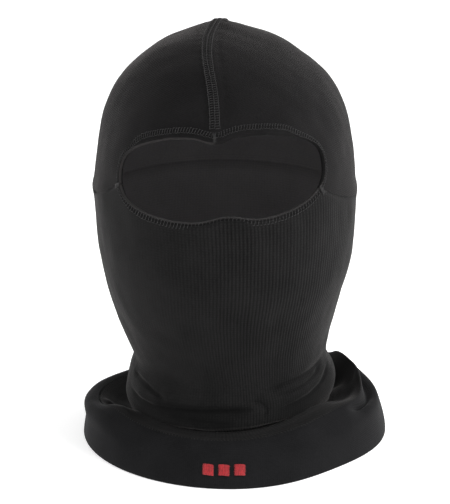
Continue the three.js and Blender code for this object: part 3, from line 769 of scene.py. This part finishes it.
def tube():
    rib = np.arange(RIBS * RIB_STEPS) / RIB_STEPS
    azimuth = wrapped(rib * 360 / RIBS)
    share = np.linspace(0, 1, FACE_ROWS + 1)[:, None]
    z = lerp(tube_top(azimuth), WAIST_Z, share)
    ring = np.concatenate([np.linspace(1, TURN_RING, ROLL_ROWS + 1)[1:],
                           np.linspace(TURN_RING, TUBE_END, TURN_ROWS + 1)[1:]])[:, None]
    roll = lobed(azimuth, ring)
    base = np.concatenate([head_point(azimuth, drop_of(z)), roll])
    normal = grid_normals(base)
    turned = np.broadcast_to(ring, roll.shape[:2])
    rings = np.concatenate([np.ones_like(z), turned])
    down = np.concatenate([WAIST_Z - z, np.interp(turned, ROLL_PATH, ROLL_LENGTH)])
    wide = np.broadcast_to(azimuth, down.shape)

    creases = fold_relief(wide, down)
    shared = shared_relief(base, wide) * (1 - 0.6 * smoothstep(rings, 9, 11))
    folds = creases + shared - 0.3 * smoothstep(rings, 11.12, 11.2)
    rib_height = 0.5 * (1 + 0.3 * np.sin(rib * 1.7) * np.sin(rib * 0.61))
    clear = (0.1 + 0.9 * bump(azimuth - 14, 36)) * (1 - 0.6 * smoothstep(down, -8, 6))
    clear = clear * (1 - 0.85 * smoothstep(rings, 9, 10.6))
    ridge = rib_height * clear * (0.5 * np.cos(2 * np.pi * rib))
    row = np.arange(len(base))[:, None]
    edge = smoothstep(row / 3, 0, 1)
    tuck = -TUCK * (1 - smoothstep(row, 0, 1.5))
    outer = base + normal * (folds + ridge * edge + tuck)[..., None]

    # Painted light and shade in the rib knit's tone: paler over the turned-out collar and most in the shaded hollow
    # behind the right cheek, darker at the back left (painted light); darker over the neck roll above the turn;
    # darker in the creases, in step with their depth (painted shade).
    painted_hollow_light = smoothstep(rings, 8.3, 9.4) * (0.3 + 0.9 * bump(wide - 94, 34) - 0.5 * bump(wide + 105, 35))
    rolled = 0.3 * smoothstep(down, -5, 25) * (1 - smoothstep(rings, 7, 8))
    painted_shading = painted_hollow_light - rolled - np.clip(-creases / 1.8, 0, 0.9)

    # The inside has one column for each rib and fewer rows over the face, without the shared rises there.
    keep = np.concatenate([np.arange(0, FACE_ROWS - 11, 4), np.arange(FACE_ROWS - 8, len(base))])
    even = shared * (1 - smoothstep(down, -60, -20))
    inner = (base + normal * (folds - even - CLOTH)[..., None])[keep][:, ::RIB_STEPS]
    v = (z.max() - WAIST_Z + down) / 1.5
    # Inner rows over the face take the lining painted pale as painted light; the rest of the inside shows the rib
    # knit.
    painted_light_rows = np.repeat((keep[:-1] < FACE_ROWS - 2).astype(int), RIBS)
    work = Patchwork()
    out = work.grid(outer, np.append(rib, RIBS), v, closed=True)
    within = work.grid(inner, np.arange(RIBS + 1), v[keep][:, ::RIB_STEPS], closed=True, flip=True, slots=painted_light_rows)
    work.rim(out[0], within[0])
    work.rim(out[-1][::-1], within[-1][::-1])
    painted_shading = np.concatenate([painted_shading.ravel(), np.zeros(inner[..., 0].size)])
    return work.build("face_and_neck_cloth", [ribbed, tube_painted_light_lining], angle=100, painted_shading=painted_shading)


# ---- Hem band: jersey folded double, its fold on the floor ----
BAND_COLUMNS, BAND_ROWS, BAND_STITCHES = 360, 72, 470


def band_layer(depth, rings, floor):
    """One face of the band at a depth under its outer face, held over a height above the floor."""
    azimuth = np.linspace(-180, 180, BAND_COLUMNS + 1)[:-1]
    ring = np.minimum(rings, LAST_RING - 1e-3)[:, None]
    base = lobed(azimuth, ring)
    normal = normal_of(lobed, azimuth, ring)
    level = smoothstep(ring, 15.5, 16.5)[..., None]
    normal = unit(normal * (1 - level * np.array([0, 0, 1])))
    relief = 0.4 * shared_relief(base, azimuth) + 0.15 * waves(base, 30, 22) * smoothstep(ring, BAND_START, 12)
    fade = 1 - smoothstep(ring, 15.8, LAST_RING)
    sunk = 0.12 * (1 - smoothstep(ring, BAND_START, BAND_START + 0.12))
    moved = base + normal * (relief * fade - sunk - depth)[..., None]
    moved[..., 2] = np.maximum(moved[..., 2], floor)
    return moved


def band():
    rings = np.linspace(BAND_START, LAST_RING, BAND_ROWS)
    half = CLOTH + 0.15
    outer = band_layer(0, rings[:-2], 0)
    inner = band_layer(2 * half, rings[4:-2], 0)
    middle, arm = (outer[-1] + inner[-1]) / 2, (outer[-1] - inner[-1]) / 2
    bend = []
    for angle in np.linspace(0, np.pi, 9)[1:-1]:
        point = middle + arm * np.cos(angle)
        point[..., 2] = middle[..., 2] * (1 - np.sin(angle))
        bend.append(point)
    slot_in = band_layer(half + 0.15, rings[4:-4], 1.4)
    slot_out = band_layer(half - 0.15, rings[:-4], 1.4)
    loop = np.concatenate([outer, np.array(bend), inner[::-1], slot_in, slot_out[::-1]])
    run = run_along(loop[:, 0])
    return swept("hem_band_cloth", loop.transpose(1, 0, 2), np.linspace(0, BAND_STITCHES, BAND_COLUMNS + 1),
                 np.append(run, run[-1]) / WALE_PITCH, [band_knit], closed=True, angle=50)


# ---- Turned hems of the eye opening ----

def hem_piece(name, from_turn, to_turn, stations, inner_reach, highlight_from, node):
    """A J of cloth: flat under the stitches, round over the folded edge, and back up inside.
    From near the top of the round out to the folded edge the cloth takes a painted highlight, a paler copy of the
    jersey, everywhere but on the brow's right half."""
    turns = np.linspace(from_turn, to_turn, stations)
    sections = []
    radius, middle = 1.45, -1.45
    for far in np.maximum(hem_width(turns), 2.6):
        outer = [(far, -0.28), (far - 0.5, 0.0), (far * 0.6, 0.16), (2.2, 0.14)]
        arc = [(1.5 + radius * np.cos(a), middle + radius * np.sin(a)) for a in np.radians(np.linspace(90, 270, 9))]
        inside = [(inner_reach * 0.6, -2.9), (inner_reach - 0.3, -2.85), (inner_reach, -2.3),
                  (inner_reach - 0.3, -1.75), (inner_reach * 0.6, -1.62)]
        back = [(2.0, -1.55), (1.6, -1.45), (2.0, -1.36), (far * 0.6, -1.34), (far, -1.3)]
        sections.append(outer + arc + inside + back)
    shape = np.array(sections)
    points = on_eye(turns[:, None], shape[..., 0], shape[..., 1])
    points = points + 0.12 * waves(points, 9, 31)[..., None] * np.array([0, -0.4, 1.0])
    girth = run_along(shape[0])
    slots = np.zeros((stations - 1, shape.shape[1]), int)
    # Faces from the given corner round to the folded edge take the painted highlight (slot 1).
    slots[:, highlight_from:8] = ((turns[1:] + turns[:-1]) / 2 > BROW_SEAM)[:, None]
    piece = swept(name, points, run_along(points[:, 0]) / WALE_PITCH, np.append(girth, girth[-1] + 1) / WALE_PITCH,
                  [jersey, painted_highlight_edge], slots=slots.ravel())
    return placed(piece, node)


# ---- Stitches ----

def arched(start, end, up, rise, count=5):
    """Threads from start to end, each bowed up in the middle, and which way is up along them."""
    t = np.linspace(0, 1, count)[None, :, None]
    line = start[:, None] + (end - start)[:, None] * t
    bow = (4 * t * (1 - t)) ** 0.5 * rise
    return line + up[:, None] * bow, np.repeat(up[:, None], count, 1)


def joined(*threads):
    """Several runs of arched threads as one."""
    return [np.concatenate(part) for part in zip(*threads)]


def sewn(name, threads, girth, thread, node):
    """Threads as one piece. girth is their radius, or the range that each one's is drawn from."""
    if isinstance(girth, tuple):
        girth = rng.uniform(*girth, len(threads[0]))
    return placed(thread_mesh(name, *threads, girth, thread), node)


def eye_ladder(name, from_turn, to_turn, node, pitch, half):
    """Cover stitch: rungs across the hem and a row of short stitches at each end of them."""
    fine = np.linspace(from_turn, to_turn, 1200)
    run = run_along(on_eye(fine, hem_width(fine), 0))
    marks = np.interp(np.arange(0.6, run[-1] - 0.6, pitch), run, fine)
    step = np.interp(pitch, run, fine) - from_turn
    jitter = rng.normal(0, 0.1, (4, len(marks)))
    reach = half * lerp(0.4, 1, smoothstep(np.abs(np.sin(np.radians(marks - 8))), 0.2, 0.75))
    near, far = hem_width(marks) - reach + jitter[0], hem_width(marks) + reach + jitter[1]
    up = unit(on_eye(marks, hem_width(marks), 1) - on_eye(marks, hem_width(marks), 0))
    ahead = np.append(marks[1:], 2 * marks[-1] - marks[-2])
    threads = joined(
        arched(on_eye(marks, near, 0.24), on_eye(marks + 0.22 * step, far, 0.24), up, 0.12),
        *(arched(on_eye(marks + 0.1 * step, side, 0.04), on_eye(ahead - 0.05 * step, side, 0.04), up, 0.22)
          for side in (near, far)))
    sewn(name, threads, (0.13, 0.19), seam_yarn, node)


def crown_stop(t):
    """Azimuth and drop on the crown seam, from 0 over the brow to 1 at the back."""
    brow = eye_outline(BROW_SEAM)
    drop = lerp(-drop_of(brow[1] + 7.5), drop_of(161), t)
    azimuth = np.where(drop < 0, brow[0] * (-drop / drop_of(brow[1])), 180.0)
    return azimuth, np.abs(drop)


CROWN_STOPS = np.linspace(0, 1, 2400)
CROWN_RUN = run_along(head_point(*crown_stop(CROWN_STOPS)))


def on_crown(run, across, height):
    """A point beside the crown seam, a distance along it from the brow, and which way is up there."""
    t = np.interp(run, CROWN_RUN, CROWN_STOPS)
    ahead = head_point(*crown_stop(np.minimum(1, t + 2e-3))) - head_point(*crown_stop(np.maximum(0, t - 2e-3)))
    x = np.array([1.0, 0, 0])
    up = unit(np.cross(x, ahead))
    side = unit(np.cross(ahead, up))
    flip = np.sign((side * x).sum(-1))[..., None]
    across, height = (np.asarray(value)[..., None] for value in (across, height))
    point = head_point(*crown_stop(t)) + side * flip * across + up * height
    return point - up * (across ** 2 / (2 * HEAD_RADIUS)), up


def over_crown(run, across, lift):
    """A point beside the crown seam at a height over the cloth's own rises and dips."""
    place = on_crown(run, across, 0)[0]
    relief = seam_relief(across) + peak_relief(place) + shared_relief(place, 0.0)
    return on_crown(run, across, relief + lift)


def crown_threads():
    """Three needle rows along the crown seam and the rungs that cover it between them."""
    marks = np.arange(0.5, CROWN_RUN[-1] - 1, 1.5)
    drift = -1.5 * bump(marks - 42, 19)
    for offset, place in ((-2.6, "left"), (0.0, "centre"), (2.6, "right")):
        wander = offset + drift + 0.15 * np.sin(marks / 11 + offset) + rng.normal(0, 0.06, len(marks))
        start, up = over_crown(marks, wander, 0.08)
        end, _ = over_crown(marks + 1.42, wander + rng.normal(0, 0.05, len(marks)), 0.08)
        sewn(f"crown_needle_row_{place}", arched(start, end, up, 0.26), (0.17, 0.23), seam_yarn,
             f"crown_needle_thread_{place}")
    halves = []
    for left, right in ((-3.1, -0.2), (0.2, 3.1)):
        start, up = over_crown(marks, left + drift + rng.normal(0, 0.08, len(marks)), 0.02)
        end, _ = over_crown(marks + 0.3, right + drift + rng.normal(0, 0.08, len(marks)), 0.02)
        halves.append(arched(start, end, up, 0.16))
    sewn("crown_cover_rungs", joined(*halves), (0.14, 0.2), seam_yarn, "crown_cover_thread")


def joining_thread():
    """Small slanting stitches over the seam between hood and tube."""
    azimuth = seam_azimuths(3000)
    run = run_along(head_point(azimuth, drop_of(join_height(azimuth))))
    marks = np.interp(np.arange(1, run[-1] - 1, 2.1), run, np.arange(len(azimuth)))
    azimuth = azimuth[np.round(marks).astype(int)]
    z = join_height(azimuth)
    start = above(head_point, azimuth, drop_of(z + 0.75), 0.2)
    end = above(head_point, azimuth + 0.45, drop_of(z - 0.75), 0.2)
    threads = arched(start, end, normal_of(head_point, azimuth, drop_of(z)), 0.15)
    sewn("joining_seam_stitches", threads, 0.15, dark_yarn, "joining_seam_thread")


def joining_allowance():
    """The two cut edges of the joining seam, pressed flat inside and overedged."""
    azimuth = seam_azimuths(260)
    shape = [(-2.9, -1.1), (-1.2, -1.1), (0, -1.1), (1.2, -1.1), (2.9, -1.1),
             (2.8, -1.26), (1.3, -1.35), (0, -1.34), (-1.3, -1.35), (-2.8, -1.26)]
    z = join_height(azimuth)
    points = np.stack([above(head_point, azimuth, drop_of(z - off), deep) for off, deep in shape], 1)
    # Its material is the lining painted pale as painted light.
    piece = swept("joining_seam_edges", points, run_along(points[:, 0]) / WALE_PITCH,
                  np.arange(len(shape) + 1) * 0.9, [painted_light_lining])
    return placed(piece, "joining_seam_allowance")


def hem_stitches():
    """The row of small stitches that holds the band to the tube."""
    marks = np.arange(-180, 180, 1.35)
    ring = np.full(marks.shape, STITCH_RING)
    start, end = above(lobed, marks, ring - 0.14, 0.02), above(lobed, marks + 0.5, ring + 0.14, 0.02)
    threads = arched(start, end, normal_of(lobed, marks, ring), 0.1)
    return sewn("hem_band_stitches", threads, 0.14, dark_yarn, "hem_cover_stitch")


def bartack(name, centre_turn, width, near, far, node):
    """Close stitches side by side, across the hem."""
    count = int(width / 0.5) + 1
    across = on_eye(centre_turn + np.array([-0.5, 0.5]), 2.0, 0)
    per_mm = 1 / np.linalg.norm(across[1] - across[0])
    turns = centre_turn + np.linspace(-width / 2, width / 2, count) * per_mm
    lean = rng.normal(0, 0.12, count) * per_mm
    start = on_eye(turns, near + rng.normal(0, 0.12, count), 0.35)
    end = on_eye(turns + lean, far + rng.normal(0, 0.15, count), 0.35)
    up = unit(on_eye(turns, 3.0, 1) - on_eye(turns, 3.0, 0))
    sewn(name, arched(start, end, up, 0.35, 6), (0.16, 0.24), seam_yarn, node)


ACCENT_AZ, ACCENT_RING, ACCENT_PITCH, ACCENT_ROWS = -4.2, 14.55, 9.25, 15


def accent(steps, place):
    """A small square in satin stitch on the front of the band, some steps from the middle one."""
    reach = smooth_through(COLLAR_KNOTS, COLLAR_RINGS[:, 1], ACCENT_RING)
    degrees = 1 / (reach * np.pi / 180)
    middle = ACCENT_AZ + steps * ACCENT_PITCH * degrees
    per_ring = np.linalg.norm(collar_point(middle, ACCENT_RING + 0.5) - collar_point(middle, ACCENT_RING - 0.5))
    rows = np.linspace(-3.1, 3.1, ACCENT_ROWS)
    ragged = rng.normal(0, 0.12, (2, ACCENT_ROWS))
    start = above(lobed, middle + (-3.25 + ragged[0]) * degrees, ACCENT_RING + (rows - 0.25) / per_ring, 0.35)
    end = above(lobed, middle + (3.25 + ragged[1]) * degrees, ACCENT_RING + (rows + 0.25) / per_ring, 0.35)
    up = normal_of(collar_point, np.full(ACCENT_ROWS, middle), np.full(ACCENT_ROWS, ACCENT_RING))
    sewn(f"accent_stitches_{place}", arched(start, end, up, 0.5, 9), (0.25, 0.3), red_yarn,
         f"accent_square_{place}")


# ---- Put together ----
hood_left, hood_right = hood_panel(-1), hood_panel(1)
neck_tube, hem_band = tube(), band()
placed(hood_left, "hood_left_panel")
placed(hood_right, "hood_right_panel")
placed(neck_tube, "face_and_neck_tube")
placed(hem_band, "hem_band")

brow_left = hem_piece("brow_hem_left", LEFT_CORNER - 0.6, BROW_SEAM + 0.15, 110, 7, 5, "brow_hem_facing")
brow_right = hem_piece("brow_hem_right", BROW_SEAM - 0.15, RIGHT_CORNER + 0.6, 130, 7, 4, "brow_hem_facing")
cheek = hem_piece("cheek_hem", RIGHT_CORNER + 359.4, LEFT_CORNER + 0.6, 170, 5, 5, "cheek_hem_facing")

eye_ladder("brow_hem_stitches", LEFT_CORNER - 3, RIGHT_CORNER + 3, "brow_cover_stitch", 1.65, 1.45)
eye_ladder("cheek_hem_stitches", RIGHT_CORNER + 357, LEFT_CORNER + 3, "cheek_cover_stitch", 2.1, 1.75)
crown_threads()
joining_thread()
join_edges, hem_row = joining_allowance(), hem_stitches()
bartack("brow_tack", BROW_SEAM, 1.5, 0.9, 6.0, "brow_bartack")
bartack("left_corner_tack", LEFT_CORNER, 1.6, -0.4, 4.6, "eye_corner_bartack_left")
bartack("right_corner_tack", RIGHT_CORNER, 1.8, -0.6, 5.4, "eye_corner_bartack_right")
for steps, place in ((-1, "left"), (0, "centre"), (1, "right")):
    accent(steps, place)


# ---- Studio ----

def link(name, data):
    made = bpy.data.objects.new(name, data)
    bpy.context.scene.collection.objects.link(made)
    return made


def paper_floor():
    paper = Shading("floor_paper")
    for name, value in (("Base Color", (0.95, 0.95, 0.95, 1)), ("Roughness", 0.8),
                        ("Emission Color", (1, 1, 1, 1)), ("Emission Strength", 0.42)):
        paper.shader.inputs[name].default_value = value
    mesh = bpy.data.meshes.new("floor")
    mesh.from_pydata([(-6, -6, 0), (6, -6, 0), (6, 6, 0), (-6, 6, 0)], [], [(0, 1, 2, 3)])
    mesh.materials.append(paper.material)
    link("floor", mesh)


def surround():
    """White all round, brightest at the level of the floor and dimmer overhead."""
    world = bpy.data.worlds.new("studio")
    world.use_nodes = True
    nodes, links = world.node_tree.nodes, world.node_tree.links
    split = nodes.new("ShaderNodeSeparateXYZ")
    links.new(nodes.new("ShaderNodeTexCoord").outputs["Generated"], split.inputs[0])
    level = math_node(nodes, links, "MAXIMUM", split.outputs[2], 0.0)
    fall = math_node(nodes, links, "SUBTRACT", 2.1, math_node(nodes, links, "MULTIPLY", level, 2.3))
    links.new(math_node(nodes, links, "MAXIMUM", fall, 0.35), nodes["Background"].inputs["Strength"])
    nodes["Background"].inputs["Color"].default_value = (1, 1, 1, 1)
    bpy.context.scene.world = world


def softbox(name, place, aim, size, power):
    light = bpy.data.lights.new(name, "AREA")
    light.size, light.energy = size, power
    lamp = link(name, light)
    lamp.location = place
    lamp.rotation_euler = (Vector(aim) - Vector(place)).to_track_quat("-Z", "Y").to_euler()


def camera():
    lens = bpy.data.cameras.new("camera")
    lens.sensor_fit = "HORIZONTAL"
    lens.sensor_width, lens.lens = 36, 131.1
    lens.shift_y, lens.clip_start = -0.0444, 0.05
    view = link("camera", lens)
    view.location = (-0.0063, -0.9659, 0.3888)
    view.rotation_euler = (radians(75), 0, 0)
    bpy.context.scene.camera = view
    bpy.context.scene.view_settings.view_transform = "Standard"


paper_floor()
surround()
softbox("key", (0.9, -0.45, 1.1), (0, 0, 0.2), 0.9, 17)
softbox("right", (1.1, 0.6, 0.25), (0, 0, 0.15), 0.8, 7)
softbox("left", (-1.1, 0.6, 0.3), (0, 0, 0.15), 0.8, 6)
camera()
